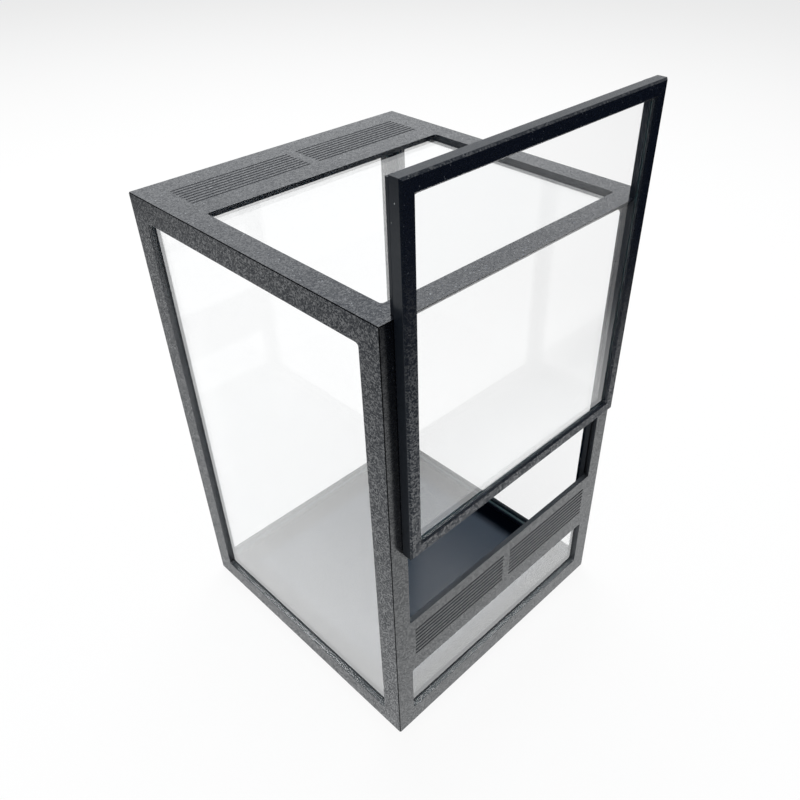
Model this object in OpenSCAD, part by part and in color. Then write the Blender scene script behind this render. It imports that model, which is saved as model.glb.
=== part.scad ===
// Small front-opening reptile terrarium: six flat printed panels mitred into a box,
// clear panes set behind the lips of the panels, slotted air grilles in the roof and in
// the front, and a framed door that slides straight up in grooves of the front uprights.
// Origin: centre of the underside. +Z up, -Y is the door side.

/* [Box] */
// Outside width of the box, side to side
box_w = 97; // [90:1:160]
// Outside depth of the box without the door, front to back
box_d = 99; // [90:1:160]
// Outside height of the box
box_h = 150; // [125:1:240]

/* [Panels] */
// Thickness of every panel
panel_t = 3.6; // [3.5:0.1:5]
// Width of the rails round the side, back and roof windows
rail_w = 6.8; // [6.6:0.1:12]
// Width of the roof rail behind the door
roof_front_rail = 6.5; // [6:0.1:12]
// Depth of the roof strip that holds the grilles, from the back edge
roof_back_strip = 27.2; // [22:0.2:40]
// Radius of the window corners
corner_r = 0.9; // [0.3:0.1:1.4]
// Width of the open seam along the mitred edges
seam_gap = 0.16; // [0.1:0.02:0.5]
// Depth of that seam, measured from the outer faces
seam_depth = 0.8; // [0.6:0.1:2]

/* [Front] */
// Width of the front uprights
upright_w = 5.8; // [5.6:0.1:12]
// Distance from the box's sides to the low front window
low_window_inset = 6.2; // [6:0.1:12]
// Height of the sill under the low front window
sill_h = 7.2; // [6.6:0.1:14]
// Height of the low front window
low_window_h = 19.8; // [10:0.2:40]
// Height of the band between the low window and the doorway
band_h = 23; // [20:0.5:40]
// Thickness of that band, a thin plate between the thicker uprights
band_t = 1.6; // [1.4:0.1:3]

/* [Panes] */
// Thickness of the clear panes
pane_t = 2; // [1.5:0.1:2.3]
// Thickness of the lip in front of each pane
lip_t = 1.1; // [0.8:0.1:1.2]
// How far the panes of the box run behind the lips
pane_lap = 1.5; // [1:0.1:1.8]
// Clearance round the edges of each pane
pane_gap = 0.1; // [0.05:0.01:0.2]

/* [Air grilles] */
// Distance from the box's sides to the grilles
grille_inset = 7.8; // [7:0.1:14]
// Width of the bar between the two grilles of a pair
grille_bar = 3.2; // [2:0.2:8]
// Height of a grille, across its slots
grille_h = 12; // [6:0.5:14]
// Width of one slot
slot_w = 0.7; // [0.5:0.05:1]
// Distance from one slot to the next
slot_pitch = 1.55; // [1.3:0.05:2.5]
// Distance from the roof's back edge to its grilles
roof_grille_inset = 7.4; // [7:0.1:9]
// Distance from the doorway down to the front grilles
front_grille_drop = 4.4; // [3:0.1:7]

/* [Door] */
// How far the door laps over each upright
door_lap = 1.8; // [1:0.1:2.4]
// Thickness of the door frame
door_t = 3.2; // [3.2:0.1:5]
// Width of the door frame's top and bottom rails
door_rail = 4; // [3:0.1:8]
// How far the door pane runs behind its lip
door_pane_lap = 0.8; // [0.6:0.1:1.2]
// Chamfer on the front edges of the door frame
door_chamfer = 0.5; // [0.2:0.1:0.8]
// Gap under the closed door
door_stop_gap = 0.4; // [0.3:0.1:1]
// How far the door is raised from closed
door_lift = 30; // [0:1:60]

/* [Door runners] */
// Running gap round the door's runners, and behind the door
runner_gap = 0.15; // [0.1:0.05:0.25]
// Width of the neck that carries each runner
neck_w = 1; // [0.8:0.1:1.5]
// How far each runner reaches into its groove
runner_reach = 0.95; // [0.8:0.05:1.6]
// Thickness of each runner
runner_t = 0.9; // [0.8:0.05:1.2]
// Thickness of the wall in front of each groove
groove_wall = 0.8; // [0.8:0.05:1.2]
// How far the runners stop below the top of the door
runner_drop = 1; // [0.5:0.5:10]

/* [Hidden] */
$fn = 32;
past = 1; // how far a cutting shape runs past the face it cuts
neck_root = 0.5; // how deep each neck is rooted in its stile
neck_shoulder = 0.1; // what is left of the stile between its pane and the neck
black = [0.16, 0.16, 0.17];
clear = [0.78, 0.88, 0.9, 0.35];

// Heights on the front, from the floor up
low_window_top = sill_h + low_window_h;
doorway_z = low_window_top + band_h;

// Windows, each as [x, y, width, height] on its panel
side_window = [rail_w, rail_w, box_d - 2 * rail_w, box_h - 2 * rail_w];
back_window = [rail_w, rail_w, box_w - 2 * rail_w, box_h - 2 * rail_w];
roof_window = [rail_w, roof_front_rail, box_w - 2 * rail_w, box_d - roof_front_rail - roof_back_strip];
low_window = [low_window_inset, sill_h, box_w - 2 * low_window_inset, low_window_h];

// Grilles
grille_w = (box_w - 2 * grille_inset - grille_bar) / 2;
roof_grille_y = box_d - roof_grille_inset - grille_h;
front_grille_y = doorway_z - front_grille_drop - grille_h;

// Door, in the closed position
doorway_half = box_w / 2 - upright_w;
neck_out = doorway_half - runner_gap;
neck_in = neck_out - neck_w;
door_w = 2 * (doorway_half + door_lap);
door_closed_z = doorway_z + door_stop_gap;
door_h = box_h - door_closed_z;
door_window_half = neck_in - neck_shoulder - pane_gap - door_pane_lap;
door_stile = door_w / 2 - door_window_half;
door_window = [door_stile, door_rail, 2 * door_window_half, door_h - 2 * door_rail];
door_back_y = -box_d / 2 - runner_gap;

// The grooves' outer wall and the runners' front face
groove_out = doorway_half + runner_reach;
runner_front_y = -box_d / 2 + groove_wall + runner_gap;

// A rectangle with round corners, as [x, y, width, height]
module round_window(r, radius) {
    translate([r[0] + radius, r[1]]) square([r[2] - 2 * radius, r[3]]);
    translate([r[0], r[1] + radius]) square([r[2], r[3] - 2 * radius]);
    for (x = [r[0] + radius, r[0] + r[2] - radius], y = [r[1] + radius, r[1] + r[3] - radius])
        translate([x, y]) circle(radius);
}

// What a mitre takes off one edge of length len: the edge runs along +X, the panel lies
// towards +Y with its outer face at z = 0, and near that face the cut opens into a seam
module mitre_cut(len) {
    deep = panel_t + past;
    translate([-past, 0, 0]) rotate([90, 0, 90]) linear_extrude(len + 2 * past)
        polygon([[-past, past], [seam_gap, past], [seam_gap, 0], [seam_depth + seam_gap, -seam_depth],
                 [seam_depth, -seam_depth], [deep, -deep], [-past, -deep]]);
}

// A flat panel of w by h with its outer face at z = 0, mitred along all four edges
module mitred_panel(w, h) {
    difference() {
        translate([0, 0, -panel_t]) cube([w, h, panel_t]);
        mitre_cut(w);
        translate([w, 0, 0]) rotate(90) mitre_cut(h);
        translate([w, h, 0]) rotate(180) mitre_cut(w);
        translate([0, h, 0]) rotate(270) mitre_cut(h);
    }
}

// A window through a frame of thickness t, and the pocket for its pane behind the lip
module window_cut(win, t, lap) {
    reach = lap + pane_gap;
    translate([0, 0, -t - past]) linear_extrude(t + 2 * past) round_window(win, corner_r);
    translate([win[0] - reach, win[1] - reach, -t - past])
        cube([win[2] + 2 * reach, win[3] + 2 * reach, t + past - lip_t]);
}

// The pane that fits that pocket
module pane(win, lap) {
    color(clear) translate([win[0] - lap, win[1] - lap, -lip_t - pane_t])
        cube([win[2] + 2 * lap, win[3] + 2 * lap, pane_t]);
}

// The slots of one grille whose low corner is at x, y
module grille_cut(x, y) {
    count = floor((grille_h - slot_w) / slot_pitch + 0.001) + 1;
    first = (grille_h - slot_w - (count - 1) * slot_pitch) / 2;
    for (i = [0 : count - 1])
        translate([x, y + first + i * slot_pitch, -panel_t - past])
            cube([grille_w, slot_w, panel_t + 2 * past]);
}

// Both grilles of a pair
module grille_pair_cut(y) {
    grille_cut(grille_inset, y);
    grille_cut(box_w - grille_inset - grille_w, y);
}

// Places for the six panels: the panel's outer face, at z = 0, turns to its side of the box
module at_front() { translate([-box_w / 2, -box_d / 2, 0]) rotate([90, 0, 0]) children(); }
module at_back() { translate([box_w / 2, box_d / 2, 0]) rotate([90, 0, 180]) children(); }
module at_left() { translate([-box_w / 2, box_d / 2, 0]) rotate([90, 0, -90]) children(); }
module at_right() { translate([box_w / 2, -box_d / 2, 0]) rotate([90, 0, 90]) children(); }
module at_roof() { translate([-box_w / 2, -box_d / 2, box_h]) children(); }
module at_floor() { translate([-box_w / 2, box_d / 2, 0]) rotate([180, 0, 0]) children(); }

// Outline of a runner with its neck, on the +X side, grown by gap for the groove
module runner_outline(gap) {
    root = door_back_y - neck_root;
    front = runner_front_y - gap;
    back = runner_front_y + runner_t + gap;
    translate([neck_in - gap, root]) square([neck_w + 2 * gap, back - root]);
    translate([neck_in - gap, front]) square([groove_out - runner_gap - neck_in + 2 * gap, back - front]);
}

// Both grooves, from the foot of the doorway up through the roof
module runner_grooves() {
    for (side = [0, 1])
        mirror([side, 0, 0]) translate([0, 0, doorway_z]) linear_extrude(box_h - doorway_z + past)
            runner_outline(runner_gap);
}

module floor_panel() {
    color(black) at_floor() mitred_panel(box_w, box_d);
}

module side_panel() {
    color(black) difference() {
        mitred_panel(box_d, box_h);
        window_cut(side_window, panel_t, pane_lap);
    }
}

module left_frame() {
    at_left() side_panel();
}

module right_frame() {
    at_right() side_panel();
}

module back_frame() {
    color(black) at_back() difference() {
        mitred_panel(box_w, box_h);
        window_cut(back_window, panel_t, pane_lap);
    }
}

// Sill, low window, grille band and two uprights; the doorway is open to the roof
module front_frame() {
    color(black) difference() {
        at_front() difference() {
            mitred_panel(box_w, box_h);
            window_cut(low_window, panel_t, pane_lap);
            translate([upright_w, doorway_z, -panel_t - past])
                cube([2 * doorway_half, box_h - doorway_z + past, panel_t + 2 * past]);
            translate([upright_w, low_window_top, -panel_t - past])
                cube([2 * doorway_half, band_h + past, panel_t - band_t + past]);
            grille_pair_cut(front_grille_y);
        }
        runner_grooves();
    }
}

module roof_frame() {
    color(black) difference() {
        at_roof() difference() {
            mitred_panel(box_w, box_d);
            window_cut(roof_window, panel_t, pane_lap);
            grille_pair_cut(roof_grille_y);
        }
        runner_grooves();
    }
}

module left_pane() {
    at_left() pane(side_window, pane_lap);
}

module right_pane() {
    at_right() pane(side_window, pane_lap);
}

module back_pane() {
    at_back() pane(back_window, pane_lap);
}

module front_pane() {
    at_front() pane(low_window, pane_lap);
}

module roof_pane() {
    at_roof() pane(roof_window, pane_lap);
}

// Place of the door: its front face turns to -Y, raised by door_lift
module at_door() {
    translate([-door_w / 2, door_back_y - door_t, door_closed_z + door_lift]) rotate([90, 0, 0]) children();
}

// What the chamfer takes off one front edge of length len that runs along +X
module chamfer_cut(len) {
    translate([-past, 0, 0]) rotate([90, 0, 90]) linear_extrude(len + 2 * past)
        polygon([[-past, past], [door_chamfer + past, past], [-past, -door_chamfer - past]]);
}

// The bevel round the door's window, wider by the chamfer at the front face
module window_bevel(win) {
    out = door_chamfer + past;
    edges = [[0, 0, 0, win[2]], [win[2], 0, 90, win[3]], [win[2], win[3], 180, win[2]], [0, win[3], 270, win[3]]];
    for (edge = edges)
        translate([win[0] + edge[0], win[1] + edge[1], 0]) rotate(edge[2]) intersection() {
            translate([-door_chamfer, 0, 0]) rotate([90, 0, 90]) linear_extrude(edge[3] + 2 * door_chamfer)
                polygon([[past, past], [-out, past], [past, -out]]);
            translate([0, 0, -door_t]) linear_extrude(door_t + past)
                polygon([[-out, -out], [edge[3] + out, -out], [edge[3] / 2, edge[3] / 2]]);
        }
}

module door_frame() {
    color(black) {
        at_door() difference() {
            translate([0, 0, -door_t]) cube([door_w, door_h, door_t]);
            window_cut(door_window, door_t, door_pane_lap);
            window_bevel(door_window);
            chamfer_cut(door_w);
            translate([door_w, 0, 0]) rotate(90) chamfer_cut(door_h);
            translate([door_w, door_h, 0]) rotate(180) chamfer_cut(door_w);
            translate([0, door_h, 0]) rotate(270) chamfer_cut(door_h);
        }
        for (side = [0, 1])
            mirror([side, 0, 0]) translate([0, 0, door_closed_z + door_lift])
                linear_extrude(door_h - runner_drop) runner_outline(0);
    }
}

module door_pane() {
    at_door() pane(door_window, door_pane_lap);
}

floor_panel();
left_frame();
right_frame();
back_frame();
front_frame();
roof_frame();
left_pane();
right_pane();
back_pane();
front_pane();
roof_pane();
door_frame();
door_pane();
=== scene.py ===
# %% [markdown]
# # A small black terrarium with a sliding door
#
# The real object is a box of six flat printed panels, glued along mitred edges. Clear
# acrylic panes sit behind the lips of the panels, fine slots in the roof and in the front
# let air through, and a thin framed door slides straight up in grooves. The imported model
# already holds every shape at its real size, so this script is about finishes and light:
# how a build plate marks black plastic, how the layers of a print show on its walls, and
# how thin clear sheet mirrors a white table.

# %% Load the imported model
import math

import bpy
import numpy as np
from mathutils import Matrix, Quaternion, Vector


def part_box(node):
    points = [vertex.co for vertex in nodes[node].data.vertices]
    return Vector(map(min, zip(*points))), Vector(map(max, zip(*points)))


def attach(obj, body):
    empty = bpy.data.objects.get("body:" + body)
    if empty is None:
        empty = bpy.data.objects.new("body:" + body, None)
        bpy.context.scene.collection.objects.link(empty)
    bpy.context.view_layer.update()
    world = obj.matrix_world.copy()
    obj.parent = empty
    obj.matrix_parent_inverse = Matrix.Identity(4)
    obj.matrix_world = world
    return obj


MM = 0.001
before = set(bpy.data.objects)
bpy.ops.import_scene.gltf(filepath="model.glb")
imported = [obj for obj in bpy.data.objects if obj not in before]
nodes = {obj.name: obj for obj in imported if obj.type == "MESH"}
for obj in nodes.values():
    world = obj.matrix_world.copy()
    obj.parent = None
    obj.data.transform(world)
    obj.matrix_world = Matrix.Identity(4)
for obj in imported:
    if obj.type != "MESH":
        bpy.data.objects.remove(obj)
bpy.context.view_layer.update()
print("pieces in the packed model:", ", ".join(sorted(nodes)))

# %% [markdown]
# ## The camera
# The photograph was taken by hand from in front of the left corner, about 45 degrees round
# and nearly 40 degrees up, close enough for strong perspective. A real lens and a real distance
# give that perspective, so the camera gets a place, a point that it aims at, and a small
# roll. The shift moves the frame without turning the camera, because the photograph is
# cropped a little off its optical centre.

# %% Place the camera
CAMERA_AT = Vector((-135.44, -149.81, 231.78)) * MM
CAMERA_AIMS_AT = Vector((-0.62, -18.03, 83.27)) * MM
CAMERA_ROLL = math.radians(-0.175)

camera_data = bpy.data.cameras.new("photo_camera")
camera_data.sensor_width = 36.0
camera_data.lens = 35.1
camera_data.shift_x = -0.0426
camera_data.shift_y = 0.0207
camera_data.clip_start = 0.01
camera_data.clip_end = 50.0
camera = bpy.data.objects.new("photo_camera", camera_data)
bpy.context.scene.collection.objects.link(camera)
camera.location = CAMERA_AT
camera.rotation_mode = "QUATERNION"
aim = (CAMERA_AIMS_AT - CAMERA_AT).to_track_quat("-Z", "Y")
camera.rotation_quaternion = aim @ Quaternion((0, 0, 1), CAMERA_ROLL)
bpy.context.scene.camera = camera
bpy.context.scene.view_settings.view_transform = "Standard"
print("camera stands", round((CAMERA_AT - CAMERA_AIMS_AT).length, 3), "m from what it aims at")

# %% [markdown]
# ## Small helpers for node trees
# Every finish below is a chain of shader nodes. Short helpers keep the chains readable:
# each one adds one kind of node, sets or links its inputs, and hands back the socket that
# the next step of the chain takes.


# %% Helpers for node trees
def add_node(tree, kind, inputs=None, **settings):
    """A node of that kind in the tree; inputs are set by name or number, or linked from a socket."""
    made = tree.nodes.new(kind)
    for name, value in settings.items():
        setattr(made, name, value)
    for name, value in (inputs or {}).items():
        if isinstance(value, bpy.types.NodeSocket):
            tree.links.new(value, made.inputs[name])
        else:
            made.inputs[name].default_value = value
    return made


def link_all(tree, target, sockets):
    """Links each named input of the target node from its socket."""
    for title, socket in sockets.items():
        tree.links.new(socket, target.inputs[title])


def node_of(tree, kind):
    """The first node of that type in the tree."""
    return next(n for n in tree.nodes if n.type == kind)


def math_node(tree, operation, a, b=0.0, clamp=False):
    """The value a operation b, as an output socket."""
    made = add_node(tree, "ShaderNodeMath", {0: a, 1: b}, operation=operation, use_clamp=clamp)
    return made.outputs[0]


def vector_node(tree, operation, a, b):
    """The number that two vectors make, such as their dot product or their distance."""
    made = add_node(tree, "ShaderNodeVectorMath", {0: a, 1: b}, operation=operation)
    return made.outputs["Value"]


def soft_mask(tree, value, low, high):
    """0 where value is below low, 1 where it is above high, and a smooth ramp between."""
    limits = {"Value": value, "From Min": low, "From Max": high}
    made = add_node(tree, "ShaderNodeMapRange", limits, interpolation_type="SMOOTHSTEP")
    return made.outputs["Result"]


def mix_values(tree, share, a, b):
    """Value a where share is 0 and value b where it is 1."""
    return add_node(tree, "ShaderNodeMix", {0: share, 2: a, 3: b}).outputs[0]


def mix_colours(tree, share, a, b):
    """Colour a where share is 0 and colour b where it is 1."""
    return add_node(tree, "ShaderNodeMix", {0: share, 6: a, 7: b}, data_type="RGBA").outputs[2]


def noise(tree, here, size, detail, roughness=0.5):
    """Cloudy noise round 0.5, with clouds about size metres wide."""
    inputs = {"Vector": here, "Scale": 1 / size, "Detail": detail, "Roughness": roughness}
    return add_node(tree, "ShaderNodeTexNoise", inputs).outputs["Fac"]


def random_cells(tree, here, size):
    """Cells about size metres wide: a random number for each, and the distance to its middle."""
    cells = add_node(tree, "ShaderNodeTexVoronoi", {"Vector": here, "Scale": 1 / size}, feature="F1")
    chance = add_node(tree, "ShaderNodeSeparateColor", {"Color": cells.outputs["Color"]})
    return chance.outputs[0], cells.outputs["Distance"]


def bumped(tree, height, distance=1.0):
    """The normal of a surface that rises by height times distance metres."""
    inputs = {"Strength": 1.0, "Distance": distance, "Height": height}
    return add_node(tree, "ShaderNodeBump", inputs).outputs["Normal"]


def new_group(name, inputs, outputs):
    """An empty node group with named sockets: its tree, its input node and its output node."""
    tree = bpy.data.node_groups.new(name, "ShaderNodeTree")
    for title, kind, default in inputs:
        socket = tree.interface.new_socket(title, in_out="INPUT", socket_type=kind)
        socket.default_value = default
    for title, kind in outputs:
        tree.interface.new_socket(title, in_out="OUTPUT", socket_type=kind)
    return tree, tree.nodes.new("NodeGroupInput"), tree.nodes.new("NodeGroupOutput")


def new_material(name):
    """A new material: itself, its node tree and its Principled shader."""
    made = bpy.data.materials.new(name)
    made.use_nodes = True
    return made, made.node_tree, node_of(made.node_tree, "BSDF_PRINCIPLED")


print("node helpers are ready")

# %% [markdown]
# ## The finish of a printed panel
# Each panel was printed lying on its outer face. Three kinds of surface come from that.
# The outer face copies the powder coat of the build plate: a fine pebbled grain, whose
# facets either catch the light or don't. The walls round the windows and slots show the
# layers, thin lines that run parallel to the outer face. The inner face is the last layer,
# with the parallel tracks of the nozzle at 45 degrees. One group makes all three and picks
# between them by comparing the surface's direction with the panel's outward direction.
#
# The plastic itself is almost perfectly black: where it mirrors something dark it is black
# in the photograph too, and all its greys are a mirrored white table. So the grain isn't
# painted in the colour. It is a clear coat whose weight goes up and down with the grain,
# and it shows only where there is something bright to mirror. Only a few white specks are
# painted in the colour, as painted glints of light.

# %% Build the group for printed plastic
GRAIN_SIZE = 0.36 * MM
GRAIN_DEPTH = 0.02 * MM
CLOUD_SIZE = 14 * MM
PAINTED_GLINT_SIZE = 0.24 * MM
LAYER_HEIGHT = 0.2 * MM
LAYER_DEPTH = 0.03 * MM
TRACK_WIDTH = 0.42 * MM
TRACK_DEPTH = 0.5 * LAYER_DEPTH
STREAK_SIZE = 1.1 * MM
PLASTIC_BLACK = (0.0022, 0.0034, 0.0085, 1)
WALL_BLACK = (0.006, 0.0085, 0.014, 1)
PAINTED_GLINT_WHITE = (0.75, 0.8, 0.86, 1)
DIAGONAL = (0.7071, 0.7071, 0.7071)
FACING = (0.55, 0.9)
PAINTED_GLINT_CHANCE = (0.992, 0.998)


def build_print_group():
    """Colour, roughness, coat weight and normal of black plastic printed on a coated plate."""
    tree, group_input, result = new_group(
        "Printed_Black",
        [
            ("Outward", "NodeSocketVector", (0, 0, 1)),
            ("Black", "NodeSocketColor", PLASTIC_BLACK),
            ("Wall Tone", "NodeSocketColor", WALL_BLACK),
            ("Sheen", "NodeSocketFloat", 0.6),
            ("Grain", "NodeSocketFloat", 1.0),
            ("Flecks", "NodeSocketFloat", 0.4),
            ("Wall Sheen", "NodeSocketFloat", 0.25),
            ("Inner Sheen", "NodeSocketFloat", 0.25),
            ("Inner Roughness", "NodeSocketFloat", 0.3),
        ],
        [
            ("Color", "NodeSocketColor"),
            ("Roughness", "NodeSocketFloat"),
            ("Coat Weight", "NodeSocketFloat"),
            ("Normal", "NodeSocketVector"),
        ],
    )
    place = add_node(tree, "ShaderNodeTexCoord")
    here = place.outputs["Object"]
    given = group_input.outputs

    def times(*values):
        product = values[0]
        for value in values[1:]:
            product = math_node(tree, "MULTIPLY", product, value)
        return product

    def plus(*values):
        total = values[0]
        for value in values[1:]:
            total = math_node(tree, "ADD", total, value)
        return total

    # Which of the three surfaces this is, from its direction
    facing = vector_node(tree, "DOT_PRODUCT", place.outputs["Normal"], given["Outward"])
    outer = soft_mask(tree, facing, *FACING)
    inner = soft_mask(tree, times(facing, -1.0), *FACING)
    wall = math_node(tree, "SUBTRACT", 1.0, plus(outer, inner), clamp=True)

    # The plate's grain: each pebble is a cell with its own random tilt, and few tilt to the
    # light. Its rounded height is the distance to the cell's middle. Clouds vary the sheen.
    tilt, from_middle = random_cells(tree, here, GRAIN_SIZE)
    pebbles = math_node(tree, "SUBTRACT", 1.0, from_middle)
    catches = times(tilt, tilt)
    clouds = noise(tree, here, CLOUD_SIZE, 3.0)
    # Painted glints: a few cells of the grain turn white in the colour
    draw, _ = random_cells(tree, here, PAINTED_GLINT_SIZE)
    flecks = soft_mask(tree, draw, *PAINTED_GLINT_CHANCE)

    # The layers on the walls: a wave along the outward direction, roughened by long streaks
    depth_here = vector_node(tree, "DOT_PRODUCT", here, given["Outward"])
    streaks = noise(tree, here, STREAK_SIZE, 3.0, 0.6)
    layer_wave = math_node(tree, "SINE", times(depth_here, 2 * math.pi / LAYER_HEIGHT))
    layers = plus(times(layer_wave, 0.5), streaks)

    # The nozzle's tracks on the inner face, across it at 45 degrees
    across = vector_node(tree, "DOT_PRODUCT", here, DIAGONAL)
    track_wave = math_node(tree, "SINE", times(across, 2 * math.pi / TRACK_WIDTH))
    tracks = plus(times(track_wave, 0.35), streaks)

    # Height in metres, from the one of the three that this surface shows
    grain_height = times(pebbles, outer, GRAIN_DEPTH)
    layer_height = times(layers, LAYER_DEPTH, wall)
    track_height = times(tracks, TRACK_DEPTH, inner)

    # Coat weight: the sheen, gathered into the facets that catch the light. The square of a
    # random number is a third on average, so three times it keeps the average sheen.
    gathered = times(catches, 3.0)
    grained = plus(1.0, times(math_node(tree, "SUBTRACT", gathered, 1.0), given["Grain"]))
    cloudy = plus(times(clouds, 0.3), 0.85)
    coat_outer = times(grained, given["Sheen"], cloudy, outer)
    coat_wall = times(plus(times(streaks, 0.8), 0.6), given["Wall Sheen"], wall)
    coat_inner = times(given["Inner Sheen"], inner)
    coat = math_node(tree, "MINIMUM", plus(coat_outer, coat_wall, coat_inner), 1.0, clamp=True)

    # Colour: black, a little lighter on the walls, and painted glints, white, in a few cells of the grain
    tone = mix_colours(tree, wall, given["Black"], given["Wall Tone"])
    colour = mix_colours(tree, times(flecks, outer, given["Flecks"]), tone, PAINTED_GLINT_WHITE)
    rough_shown = plus(times(clouds, 0.12), 0.28)

    link_all(tree, result, {
        "Color": colour,
        "Roughness": mix_values(tree, inner, rough_shown, given["Inner Roughness"]),
        "Coat Weight": coat,
        "Normal": bumped(tree, plus(grain_height, layer_height, track_height)),
    })
    return tree


print_group = build_print_group()
print("printed plastic group has", len(print_group.nodes), "nodes")

# %% [markdown]
# ## One black for each panel
# A panel's material is the same black with its own outward direction. The panels also
# differ a little: the door has the strongest grain, and the roof and the front the weakest.
# Their blacks, wall tones and sheens differ as painted light and shade: the front's black is
# darker, as painted shade beside the raised door, the door's black and the left panel's walls
# are lighter, as painted light, and each panel's sheen is set as painted reflection. The
# floor, seen from inside, is smooth enough to mirror the rails that stand on it. The right
# and back panels show only their inner sides; as painted shade, their walls are nearly black
# and their walls and inner faces mirror nothing.

# %% Make the black materials
PRINT_IOR = 1.5
PRINT_TINT = (0.6, 0.8, 1.0, 1)
COAT_IOR = 1.8
COAT_ROUGHNESS = 0.2
# Painted shade on the right and back panels: near-black walls, and no sheen on their walls and inner faces.
# Painted light on the left panel's walls, which are lighter and glossier.
SHADED_FAR_SIDE = {"flecks": 0.05, "wall_sheen": 0.0, "inner_sheen": 0.0, "wall_tone": (0.001, 0.0015, 0.003, 1)}
LIT_LEFT_SIDE = {"grain": 0.9, "flecks": 0.12, "wall_sheen": 0.8, "wall_tone": (0.05, 0.053, 0.06, 1)}
# Painted shade in the front's black, which is darker, and painted light in the door's black, which is
# lighter.
SHADED_FRONT_SIDE = {"sheen": 0.8, "grain": 0.5, "flecks": 0.08, "black": (0.001, 0.0016, 0.004, 1)}
LIT_DOOR_SIDE = {"sheen": 0.56, "grain": 1.4, "flecks": 0.08, "black": (0.004, 0.006, 0.013, 1)}

# For each panel: the direction of its plate side, and what differs from the group's own values
PANELS = {
    "floor_panel": ((0, 0, -1), {"mirror": 0.0, "inner_roughness": 0.2}),
    "roof_frame": ((0, 0, 1), {"grain": 0.5}),
    "left_frame": ((-1, 0, 0), LIT_LEFT_SIDE),
    "right_frame": ((1, 0, 0), SHADED_FAR_SIDE),
    "back_frame": ((0, 1, 0), SHADED_FAR_SIDE),
    "front_frame": ((0, -1, 0), SHADED_FRONT_SIDE),
    "door_frame": ((0, -1, 0), LIT_DOOR_SIDE),
}


def printed_black(name, outward, mirror=0.12, **values):
    """Black plastic whose plate side looks along outward; values are the group's other inputs."""
    made, tree, shader = new_material(name)
    finish = add_node(tree, "ShaderNodeGroup", node_tree=print_group)
    finish.inputs["Outward"].default_value = outward
    for title, value in values.items():
        finish.inputs[title.replace("_", " ").title()].default_value = value
    link_all(tree, shader, {
        "Base Color": finish.outputs["Color"],
        "Roughness": finish.outputs["Roughness"],
        "Coat Weight": finish.outputs["Coat Weight"],
        "Normal": finish.outputs["Normal"],
    })
    shader.inputs["IOR"].default_value = PRINT_IOR
    shader.inputs["Specular IOR Level"].default_value = mirror
    shader.inputs["Specular Tint"].default_value = PRINT_TINT
    shader.inputs["Coat IOR"].default_value = COAT_IOR
    shader.inputs["Coat Roughness"].default_value = COAT_ROUGHNESS
    return made


def dress(node, material):
    """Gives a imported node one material."""
    piece = nodes[node]
    piece.data.materials.clear()
    piece.data.materials.append(material)


for panel, (outward, values) in PANELS.items():
    dress(panel, printed_black("black_" + panel, outward, **values))
print("black materials:", len(PANELS))

# %% [markdown]
# ## Painted light, shade and mirror images along a panel
# The photograph is overexposed: its table is far brighter than white, so even a weak
# mirror image of it shows, and each place on a panel mirrors another part of the room. A
# render's white is only white, and needs help with that. Smooth ramps in a piece's own
# coordinates feed the inputs of its finish, and paint light, shade and mirror images into
# its colour and sheen.

# %% Vary the finish along the panels
INNER_HALF_WIDTH = 44.9 * MM
INNER_HALF_DEPTH = 45.9 * MM
SHADED_BORDER_END = (5.0 * MM, 10.0 * MM)
FRONT_SLOTS_END = (46.6 * MM, 47.4 * MM)
SILL_START = (47.0 * MM, 49.0 * MM)
LEFT_PANEL_HEIGHT = (20.0 * MM, 150.0 * MM)
LEFT_PANEL_DEPTH = (-45.0 * MM, 45.0 * MM)
ROOF_FRONT_HALF = (-50.0 * MM, 0.0)
ROOF_WINDOW_END = (26.0 * MM, 28.0 * MM)
FLOOR_SHEEN = 0.22
BORDER_PAINTED_SHADE = (0.0005, 0.001, 0.0025, 1)
FLOOR_PAINTED_REFLECTION_BLUE = (0.007, 0.02, 0.04, 1)
FRONT_SLOT_PAINTED_LIGHT = (0.08, 0.083, 0.09, 1)
DOORWAY_PAINTED_SHADE = (0.03, 0.032, 0.036, 1)
ROOF_SLOT_PAINTED_LIGHT = (0.2, 0.205, 0.22, 1)


def split_place(tree):
    """The place of the shaded point in the piece's own coordinates, as three sockets."""
    place = add_node(tree, "ShaderNodeTexCoord")
    return add_node(tree, "ShaderNodeSeparateXYZ", {0: place.outputs["Object"]}).outputs


def ramp_along(tree, axis, span, below, above):
    """A value that goes smoothly from below to above over a span of one axis."""
    return mix_values(tree, soft_mask(tree, split_place(tree)[axis], *span), below, above)


def off_the_walls(tree, span):
    """0 near the box's inner walls, and 1 further off them than the span."""
    place = split_place(tree)
    gaps = []
    for axis, half in (("X", INNER_HALF_WIDTH), ("Y", INNER_HALF_DEPTH)):
        gaps.append(math_node(tree, "SUBTRACT", half, math_node(tree, "ABSOLUTE", place[axis])))
    return soft_mask(tree, math_node(tree, "MINIMUM", *gaps), *span)


def finish_of(panel):
    """The node tree of a panel's material, and the printed plastic group in it."""
    tree = nodes[panel].data.materials[0].node_tree
    return tree, node_of(tree, "GROUP")


# The floor mirrors the room: painted shade, darker and without sheen, in a border along its walls, and a
# blue painted reflection in its colour further off
tree, finish = finish_of("floor_panel")
open_floor = off_the_walls(tree, SHADED_BORDER_END)
link_all(tree, finish, {
    "Inner Sheen": math_node(tree, "MULTIPLY", open_floor, FLOOR_SHEEN),
    "Black": mix_colours(tree, open_floor, BORDER_PAINTED_SHADE, FLOOR_PAINTED_REFLECTION_BLUE),
})

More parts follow.
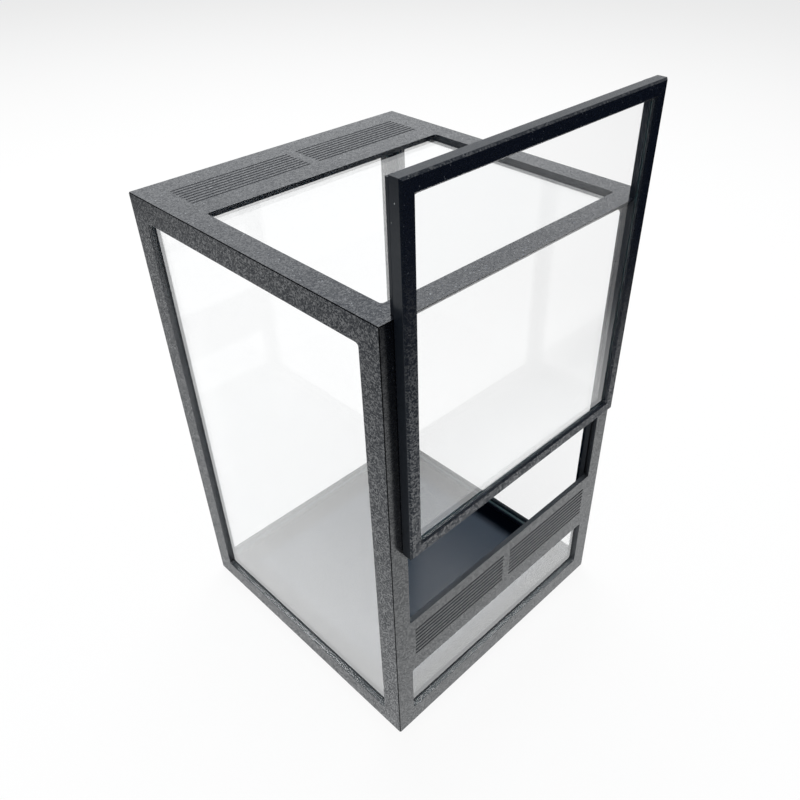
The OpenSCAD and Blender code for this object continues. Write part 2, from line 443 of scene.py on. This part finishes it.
# Painted light makes the front's grille slots lighter inside, and painted shade darkens the sill above them,
# with little sheen, where it would mirror the dark door
tree, finish = finish_of("front_frame")
above_slots = ramp_along(tree, "Z", FRONT_SLOTS_END, 0.0, 1.0)
link_all(tree, finish, {
    "Wall Sheen": ramp_along(tree, "Z", SILL_START, 0.5, 0.03),
    "Wall Tone": mix_colours(tree, above_slots, FRONT_SLOT_PAINTED_LIGHT, DOORWAY_PAINTED_SHADE),
})

# Painted shade on the left panel's plate side: its sheen fades towards the roof and towards the back
tree, finish = finish_of("left_frame")
towards_roof = ramp_along(tree, "Z", LEFT_PANEL_HEIGHT, 0.82, 0.53)
towards_back = ramp_along(tree, "Y", LEFT_PANEL_DEPTH, 1.0, 0.8)
link_all(tree, finish, {"Sheen": math_node(tree, "MULTIPLY", towards_roof, towards_back)})

# Painted reflection on the roof: its sheen is weaker towards the door; and painted light makes its grille
# slots lighter than the window's walls
tree, finish = finish_of("roof_frame")
behind_window = ramp_along(tree, "Y", ROOF_WINDOW_END, 0.0, 1.0)
link_all(tree, finish, {
    "Sheen": ramp_along(tree, "Y", ROOF_FRONT_HALF, 0.5, 0.88),
    "Wall Tone": mix_colours(tree, behind_window, WALL_BLACK, ROOF_SLOT_PAINTED_LIGHT),
})
print("panels with a finish that changes along them: 4")

# %% [markdown]
# ## Edges that catch the light
# A printed edge is never razor sharp: the nozzle is round, so each corner has a radius of
# about a tenth of a millimetre, and that radius is what draws the fine bright lines along
# the real edges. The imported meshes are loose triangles, so they are welded and their flat
# faces made whole first, and then bevelled. The panes get the same treatment with a
# polished chamfer, after being drawn in by two hundredths of a millimetre so that no clear
# face lies exactly on a black one.

# %% Round the edges
PRINT_EDGE = 0.12 * MM
PANE_EDGE = 0.06 * MM
PANE_DRAWN_IN = 0.02 * MM
WELD_WITHIN = 0.001 * MM
FLAT_WITHIN = math.radians(0.5)
SHARP_FROM = math.radians(28)


def round_edges(node, width, drawn_in=0.0):
    """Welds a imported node's triangles, draws its faces in if asked, and bevels its sharp edges."""
    piece = nodes[node]
    weld = piece.modifiers.new("weld", "WELD")
    weld.merge_threshold = WELD_WITHIN
    flatten = piece.modifiers.new("whole_faces", "DECIMATE")
    flatten.decimate_type = "DISSOLVE"
    flatten.angle_limit = FLAT_WITHIN
    if drawn_in:
        shrink = piece.modifiers.new("draw_in", "DISPLACE")
        shrink.mid_level = 0.0
        shrink.strength = -drawn_in
    bevel = piece.modifiers.new("rounded_edges", "BEVEL")
    bevel.width = width
    bevel.segments = 2
    bevel.limit_method = "ANGLE"
    bevel.angle_limit = SHARP_FROM


for panel in PANELS:
    round_edges(panel, PRINT_EDGE)
print("edges rounded on", len(PANELS), "printed pieces")

# %% [markdown]
# ## Clear acrylic
# Thin polished sheet is nearly invisible face on, but at a slant it mirrors whatever is
# bright, and here that is a white table: the floor of the box looks light grey through the
# panes and nearly black through the open doorway. The shader is glass with a clear coat
# for that mirror. Glass in a path tracer also blocks lamps, which thin sheet doesn't do,
# so rays that carry light to other surfaces pass straight through.

# %% Make the acrylic materials
SHEET_IOR = 1.49
SHEET_EDGE = (0.35, 0.62, 0.64, 1)
SHEET_FACE = (0.998, 1.0, 1.0, 1)
SHEET_SHADE = (0.9, 0.92, 0.92, 1)
EDGE_ROUGHNESS = 0.25
SMUDGE_ROUGHNESS = 0.008
SMUDGE_SIZE = 22 * MM
WAVE_SIZE = 45 * MM
WAVE_DEPTH = 0.004 * MM
SHEET_FACING = (0.5, 0.95)
SMUDGED = (0.45, 0.75)
DOOR_MIRROR_END = (108.0 * MM, 126.0 * MM)

# For each pane: the direction of its large faces, how much the sheet itself mirrors, the
# weight of the coat that adds to it, and the coat's IOR where it isn't the usual one. The
# coat is painted reflection added to the sheet's own, and the right and back sheets have
# their own reflection painted weaker than clear sheet's. The weight of the door's coat
# changes with height, and is set further down.
PANES = {
    "roof_pane": ((0, 0, 1), 0.5, 0.6),
    "left_pane": ((1, 0, 0), 0.5, 1.0, 2.35),
    "right_pane": ((1, 0, 0), 0.04, 0.0),
    "back_pane": ((0, 1, 0), 0.04, 0.0),
    "front_pane": ((0, 1, 0), 0.5, 1.0, 1.9),
    "door_pane": ((0, 1, 0), 0.2, 0.0, 2.0),
}


def build_sheet_group():
    """Colour, roughness and normal of clear sheet: tinted edges, faint haze and waviness."""
    tree, given, result = new_group(
        "Clear_Sheet",
        [("Outward", "NodeSocketVector", (0, 0, 1))],
        [("Color", "NodeSocketColor"), ("Roughness", "NodeSocketFloat"), ("Normal", "NodeSocketVector")],
    )
    place = add_node(tree, "ShaderNodeTexCoord")
    facing = vector_node(tree, "DOT_PRODUCT", place.outputs["Normal"], given.outputs["Outward"])
    face = soft_mask(tree, math_node(tree, "ABSOLUTE", facing), *SHEET_FACING)
    smudge = soft_mask(tree, noise(tree, place.outputs["Object"], SMUDGE_SIZE, 4.0), *SMUDGED)
    wave = noise(tree, place.outputs["Object"], WAVE_SIZE, 1.0)
    rough_face = math_node(tree, "MULTIPLY", smudge, SMUDGE_ROUGHNESS)
    link_all(tree, result, {
        "Color": mix_colours(tree, face, SHEET_EDGE, SHEET_FACE),
        "Roughness": mix_values(tree, face, EDGE_ROUGHNESS, rough_face),
        "Normal": bumped(tree, wave, WAVE_DEPTH),
    })
    return tree


sheet_group = build_sheet_group()


def clear_acrylic(name, outward, mirror, coat, coat_ior=1.75):
    """Clear sheet whose large faces look along outward and back; mirror and coat set how it mirrors."""
    made, tree, shader = new_material(name)
    finish = add_node(tree, "ShaderNodeGroup", node_tree=sheet_group)
    finish.inputs["Outward"].default_value = outward
    link_all(tree, shader, {
        "Base Color": finish.outputs["Color"],
        "Roughness": finish.outputs["Roughness"],
        "Normal": finish.outputs["Normal"],
    })
    shader.inputs["IOR"].default_value = SHEET_IOR
    shader.inputs["Transmission Weight"].default_value = 1.0
    shader.inputs["Specular IOR Level"].default_value = mirror
    shader.inputs["Coat Weight"].default_value = coat
    shader.inputs["Coat IOR"].default_value = coat_ior
    shader.inputs["Coat Roughness"].default_value = 0.0
    # Lamp light and bounced light go straight through
    rays = add_node(tree, "ShaderNodeLightPath").outputs
    through = math_node(tree, "MAXIMUM", rays["Is Shadow Ray"], rays["Is Diffuse Ray"])
    open_air = add_node(tree, "ShaderNodeBsdfTransparent", {"Color": SHEET_SHADE})
    mixed = add_node(tree, "ShaderNodeMixShader", {0: through, 1: shader.outputs[0], 2: open_air.outputs[0]})
    link_all(tree, node_of(tree, "OUTPUT_MATERIAL"), {"Surface": mixed.outputs[0]})
    return made


for pane, (outward, *mirrors) in PANES.items():
    dress(pane, clear_acrylic("clear_" + pane, outward, *mirrors))
    round_edges(pane, PANE_EDGE, PANE_DRAWN_IN)

# Painted reflection on the raised door's pane: its coat is on in the lower part, for the bright table there,
# and off above that, for the dim room
tree = nodes["door_pane"].data.materials[0].node_tree
painted_reflection_share = ramp_along(tree, "Z", DOOR_MIRROR_END, 1.0, 0.0)
link_all(tree, node_of(tree, "BSDF_PRINCIPLED"), {"Coat Weight": painted_reflection_share})
print("acrylic panes:", len(PANES))

# %% [markdown]
# ## The glue round each pane
# Each pane is held by a thin bead of dark glue that fills the gap at its edges and leaves
# a small hollow fillet on the inside. It matters for the picture: without it the cut edge
# of the sheet would mirror the white table like a prism, and the real one stays dark. The
# bead is one profile carried round a rectangle, with a mitre at each corner.

# %% Run the beads
GLUE_GAP = 0.08 * MM
GLUE_BITE = 0.03 * MM
GLUE_INSET = 0.04 * MM
FILLET_FOOT = 0.02 * MM
FILLET_POINTS = 7
PANE_THICKNESS = 2.0 * MM
GLUE_CLOUD_SIZE = 1.5 * MM
GLUE_UNEVENNESS = 0.03 * MM
GLUE_DARK = (0.006, 0.02, 0.026, 1)
GLUE_PALE = (0.012, 0.05, 0.058, 1)

# For each pane: the two axes of its sheet, its depth axis with the side that looks into the
# box, the fillet's width and height, and the body that it rides on
BEADS = {
    "roof": ((0, 1), (2, -1), 0.08 * MM, 0.04 * MM, "enclosure"),
    "left": ((1, 2), (0, 1), 0.08 * MM, 0.04 * MM, "enclosure"),
    "right": ((1, 2), (0, -1), 0.08 * MM, 0.04 * MM, "enclosure"),
    "back": ((0, 2), (1, -1), 0.08 * MM, 0.04 * MM, "enclosure"),
    "front": ((0, 2), (1, 1), 0.22 * MM, 0.15 * MM, "enclosure"),
    "door": ((0, 2), (1, 1), 0.22 * MM, 0.08 * MM, "door"),
}


def new_surface(name, points, faces, material):
    """A mesh object at the origin, from points in metres and faces of point numbers."""
    mesh = bpy.data.meshes.new(name)
    mesh.from_pydata(points, [], faces)
    made = bpy.data.objects.new(name, mesh)
    bpy.context.scene.collection.objects.link(made)
    made.data.materials.append(material)
    return made


def ring_surface(name, low, high, profile, across, inward, material):
    """A profile of (outward, depth) points carried round the rectangle from low to high.

    across are the two axes of the rectangle and inward the signed depth axis: the point for
    corner (a, b) is the corner moved by outward along both signs, and by depth along inward.
    """
    signs = np.array([(-1, -1), (1, -1), (1, 1), (-1, 1)], float)
    centre = (np.array(low) + np.array(high)) / 2
    half = (np.array(high) - np.array(low)) / 2
    outward, depth = np.array(profile, float).T
    points = np.zeros((4, len(profile), 3))
    for axis, column in zip(across, (0, 1)):
        points[:, :, axis] = centre[axis] + signs[:, column, None] * (half[axis] + outward)
    axis, sign = inward
    points[:, :, axis] = centre[axis] + sign * (half[axis] + depth)
    index = np.arange(4 * len(profile)).reshape(4, -1)
    right, up = np.roll(index, -1, 0), np.roll(index, -1, 1)
    both = np.roll(right, -1, 1)
    quads = np.stack([index, right, both, up], -1).reshape(-1, 4)
    return new_surface(name, points.reshape(-1, 3).tolist(), quads.tolist(), material)


def bead_profile(width, rise):
    """The bead's section: the gap beside the sheet, and a hollow fillet that wide and high.

    The fillet is a quarter turn from (-width, foot) to (gap, rise), bent towards the corner.
    """
    turn = np.linspace(0, np.pi / 2, FILLET_POINTS)
    fillet_out = -width + (width + GLUE_GAP) * np.sin(turn)
    fillet_up = FILLET_FOOT + (rise - FILLET_FOOT) * (1 - np.cos(turn))
    back = GLUE_INSET - PANE_THICKNESS
    section = [(GLUE_GAP, back)]
    section += list(zip(fillet_out[::-1], fillet_up[::-1]))
    section += [(-width, -GLUE_INSET), (-GLUE_BITE, -GLUE_INSET), (-GLUE_BITE, back)]
    return section


def glue_material():
    """Dark clear glue with a faint blue-green cast, glossy and a little uneven."""
    made, tree, shader = new_material("dark_glue")
    place = add_node(tree, "ShaderNodeTexCoord")
    uneven = noise(tree, place.outputs["Object"], GLUE_CLOUD_SIZE, 3.0)
    link_all(tree, shader, {
        "Base Color": mix_colours(tree, uneven, GLUE_DARK, GLUE_PALE),
        "Roughness": math_node(tree, "ADD", math_node(tree, "MULTIPLY", uneven, 0.3), 0.2),
        "Normal": bumped(tree, uneven, GLUE_UNEVENNESS),
    })
    return made


glue = glue_material()
for side, (across, inward, width, rise, body) in BEADS.items():
    low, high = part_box(side + "_pane")
    profile = bead_profile(width, rise)
    bead = ring_surface(side + "_glue_bead", low, high, profile, across, inward, glue)
    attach(bead, body)
print("glue beads:", len(BEADS))

# %% [markdown]
# ## Crumbs of plastic
# Real prints carry traces of how they were made. Here a short curl of string sticks to the
# back edge of the roof window, and pale crumbs sit on the door's left side and on its
# bottom rail. Each is a small ellipsoid, most of it sunk in the face that carries it.

# %% Drop the crumbs
CRUMB_COLOUR = (0.5, 0.53, 0.56, 1)
CRUMB_ROUGHNESS = 0.4

# For each crumb: its centre and its three radii, in millimetres, and the body that it rides on
CRUMBS = {
    "string_on_roof": ((-17.1, 22.95, 149.92), (0.45, 0.12, 0.1), "enclosure"),
    "crumb_high_on_door": ((-44.42, -51.1, 175.0), (0.12, 0.16, 0.2), "door"),
    "crumb_low_on_door": ((-44.42, -50.1, 171.0), (0.1, 0.12, 0.14), "door"),
    "crumb_on_door_rail": ((-37.0, -52.75, 81.9), (0.16, 0.12, 0.12), "door"),
}


def ellipsoid(name, centre, radii, material, rings=8, sides=12):
    """The surface centre + radii * (cos u cos v, sin u cos v, sin v), closed at both poles."""
    turn = np.linspace(0, 2 * np.pi, sides, endpoint=False)
    rise = np.linspace(-np.pi / 2, np.pi / 2, rings + 1)[1:-1]
    around, up = np.meshgrid(turn, rise)
    ball = np.stack([np.cos(around) * np.cos(up), np.sin(around) * np.cos(up), np.sin(up)], -1)
    ball = np.vstack([ball.reshape(-1, 3), (0, 0, -1), (0, 0, 1)])
    index = np.arange((rings - 1) * sides).reshape(rings - 1, sides)
    after = np.roll(index, -1, 1)
    faces = np.stack([index[:-1], after[:-1], after[1:], index[1:]], -1).reshape(-1, 4).tolist()
    foot, top = len(ball) - 2, len(ball) - 1
    faces += [(b, a, foot) for a, b in zip(index[0].tolist(), after[0].tolist())]
    faces += [(a, b, top) for a, b in zip(index[-1].tolist(), after[-1].tolist())]
    return new_surface(name, (ball * radii + centre).tolist(), faces, material)


crumb_plastic, _, crumb_shader = new_material("pale_crumb")
crumb_shader.inputs["Base Color"].default_value = CRUMB_COLOUR
crumb_shader.inputs["Roughness"].default_value = CRUMB_ROUGHNESS
for name, (centre, radii, body) in CRUMBS.items():
    crumb = ellipsoid(name, np.array(centre) * MM, np.array(radii) * MM, crumb_plastic)
    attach(crumb, body)
print("crumbs:", len(CRUMBS))

# %% [markdown]
# ## The white table
# The table is one large flat sheet under the object. To the camera it is almost white,
# keeps only a faint shadow, and has a touch of painted shade some way off. To mirrors it is
# white round and behind the object and falls off further out, where the room is darker, and
# that fall-off is why the top of the raised door mirrors almost nothing and stays black.

# %% Make the table
TABLE_HALF = 6.0
TABLE_PAINT = (0.86, 0.86, 0.865, 1)
TABLE_ROUGHNESS = 0.7
TABLE_GLOSS = 0.2
TABLE_SHADOW_HIDDEN = 0.92
TABLE_CENTRE = Vector((-0.04, 0.12, 0.0))
TURNS_GREY = (0.35, 1.3)
TURNS_WHITE_AGAIN = (1.6, 3.2)
MIRRORED_TURNS_DARK = (0.23, 0.44)
PURE_WHITE = (1, 1, 1, 1)
DISTANT_PAINTED_SHADE = (0.83, 0.83, 0.83, 1)
MIRRORED_WHITE = (0.98, 0.993, 1, 1)
MIRRORED_DARK = (0.008, 0.011, 0.018, 1)


def flat_sheet(name, half, material):
    """A square sheet at height 0, with its corners at x and y of plus or minus half."""
    corners = [(-half, -half, 0.0), (half, -half, 0.0), (half, half, 0.0), (-half, half, 0.0)]
    return new_surface(name, corners, [(0, 1, 2, 3)], material)


def kinds_of_ray(tree):
    """Masks for the rays that see what the camera sees, and for the rays that only mirror.

    A ray that went through a pane counts as glossy too, and has to see what the camera sees.
    """
    rays = add_node(tree, "ShaderNodeLightPath").outputs
    passed = rays["Is Transmission Ray"]
    direct = math_node(tree, "MAXIMUM", rays["Is Camera Ray"], passed)
    mirroring = math_node(tree, "SUBTRACT", rays["Is Glossy Ray"], passed, clamp=True)
    return direct, mirroring


def table_material():
    """White table: softly shaded for the camera, bright close by and dim far off for mirrors."""
    made, tree, shader = new_material("white_table")
    shader.inputs["Base Color"].default_value = TABLE_PAINT
    shader.inputs["Roughness"].default_value = TABLE_ROUGHNESS
    shader.inputs["Specular IOR Level"].default_value = TABLE_GLOSS
    place = add_node(tree, "ShaderNodeTexCoord")
    reach = vector_node(tree, "DISTANCE", place.outputs["Object"], TABLE_CENTRE)
    off_centre = soft_mask(tree, reach, *TURNS_GREY)
    horizon = soft_mask(tree, reach, *TURNS_WHITE_AGAIN)
    painted_far_shade = math_node(tree, "SUBTRACT", off_centre, horizon, clamp=True)
    far = soft_mask(tree, reach, *MIRRORED_TURNS_DARK)
    seen_colour = mix_colours(tree, painted_far_shade, PURE_WHITE, DISTANT_PAINTED_SHADE)
    seen = add_node(tree, "ShaderNodeEmission", {"Color": seen_colour, "Strength": 1.0})
    mirrored_colour = mix_colours(tree, far, MIRRORED_WHITE, MIRRORED_DARK)
    mirrored = add_node(tree, "ShaderNodeEmission", {"Color": mirrored_colour, "Strength": 1.0})
    direct, mirroring = kinds_of_ray(tree)
    direct = math_node(tree, "MULTIPLY", direct, TABLE_SHADOW_HIDDEN)
    to_camera = add_node(tree, "ShaderNodeMixShader", {0: direct, 1: shader.outputs[0], 2: seen.outputs[0]})
    by_ray = {0: mirroring, 1: to_camera.outputs[0], 2: mirrored.outputs[0]}
    final = add_node(tree, "ShaderNodeMixShader", by_ray)
    link_all(tree, node_of(tree, "OUTPUT_MATERIAL"), {"Surface": final.outputs[0]})
    return made


table = flat_sheet("white_table", TABLE_HALF, table_material())
print("table is", 2 * TABLE_HALF, "m wide")

# %% [markdown]
# ## Light
# A bright room gives most of the light, and one large soft lamp overhead gives the faint
# shadow under the box its direction and the tiny sparks on the grain. The world is white
# to the camera and through the panes. Mirrors see it white overhead and behind the object,
# and dark low down in front of it, where the photographer stood.

# %% Set the world and the lamp
ROOM_LIGHT = 0.62
ROOM_COLOUR = (0.97, 0.985, 1.0, 1)
ROOM_MIRRORED_DARK = (0.01, 0.013, 0.02, 1)
ROOM_MIRRORED_BRIGHT = (0.97, 0.988, 1, 1)
BEHIND = (-0.35, 0.25)
OVERHEAD = (0.25, 0.75)
LAMP_POWER = 7.5
LAMP_WIDTH = 0.7
LAMP_AT = Vector((0.25, 0.35, 0.95))
LAMP_AIMS_AT = Vector((0, 0, 0.05))


def light_the_room():
    """World: white for the camera, darker low in front for mirrors, soft light for the rest."""
    world = bpy.data.worlds.new("bright_room")
    bpy.context.scene.world = world
    world.use_nodes = True
    tree = world.node_tree
    tree.nodes.clear()
    room = add_node(tree, "ShaderNodeBackground", {"Color": ROOM_COLOUR, "Strength": ROOM_LIGHT})
    white = add_node(tree, "ShaderNodeBackground", {"Color": PURE_WHITE, "Strength": 1.0})
    heading = add_node(tree, "ShaderNodeTexCoord").outputs["Generated"]
    heading = add_node(tree, "ShaderNodeSeparateXYZ", {0: heading}).outputs
    behind = soft_mask(tree, heading["Y"], *BEHIND)
    overhead = soft_mask(tree, heading["Z"], *OVERHEAD)
    bright = math_node(tree, "MAXIMUM", behind, overhead)
    mirrored_colour = mix_colours(tree, bright, ROOM_MIRRORED_DARK, ROOM_MIRRORED_BRIGHT)
    mirrored = add_node(tree, "ShaderNodeBackground", {"Color": mirrored_colour, "Strength": 1.0})
    direct, mirroring = kinds_of_ray(tree)
    seen = add_node(tree, "ShaderNodeMixShader", {0: direct, 1: room.outputs[0], 2: white.outputs[0]})
    by_ray = {0: mirroring, 1: seen.outputs[0], 2: mirrored.outputs[0]}
    final = add_node(tree, "ShaderNodeMixShader", by_ray)
    add_node(tree, "ShaderNodeOutputWorld", {"Surface": final.outputs[0]})


light_the_room()
lamp_data = bpy.data.lights.new("soft_lamp", "AREA")
lamp_data.shape = "DISK"
lamp_data.size = LAMP_WIDTH
lamp_data.energy = LAMP_POWER
lamp = bpy.data.objects.new("soft_lamp", lamp_data)
bpy.context.scene.collection.objects.link(lamp)
lamp.location = LAMP_AT
lamp.rotation_mode = "QUATERNION"
lamp.rotation_quaternion = (LAMP_AIMS_AT - LAMP_AT).to_track_quat("-Z", "Y")
print("room light", ROOM_LIGHT, "and lamp power", LAMP_POWER, "W")
